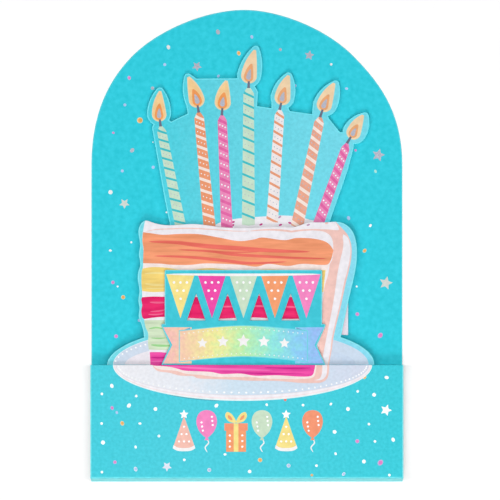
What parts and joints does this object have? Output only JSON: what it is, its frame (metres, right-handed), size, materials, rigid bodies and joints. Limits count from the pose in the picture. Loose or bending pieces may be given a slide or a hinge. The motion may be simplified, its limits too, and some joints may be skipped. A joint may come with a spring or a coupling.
{
  "type": "pop-up greeting card",
  "caption": "Arch-topped pop-up greeting card lying on its back, with die-cut candle and cake layers and a bunting plaque held apart behind a folded front panel.",
  "frame": {"origin": "under the middle of the card's bounding box, on the back panel's rear face", "axes": "+X across the card, +Y up to the top of the arch, +Z from the back panel to the front panel"},
  "size_m": [0.145, 0.22, 0.01],
  "materials": {
    "turquoise_card": "matt printed card with foil spots",
    "candle_card": "matt printed card with foil spots",
    "cake_card": "matt printed card with foil spots",
    "plaque_card": "matt printed card with a rainbow foil ribbon",
    "white_card": "matt uncoated card",
    "foam": "fine closed-cell foam"
  },
  "bodies": {
    "root": {"folded_card": "turquoise_card", "candle_panel": "candle_card", "cake_panel": "cake_card", "plaque": "plaque_card", "candle_strip_left": "white_card", "candle_strip_right": "white_card", "candle_strip_top": "white_card", "cake_strip_left": "white_card", "cake_strip_right": "white_card", "front_strip_left": "white_card", "front_strip_right": "white_card", "plaque_pad_left": "foam", "plaque_pad_right": "foam", "plaque_pad_top": "foam"}
  },
  "joints": []
}
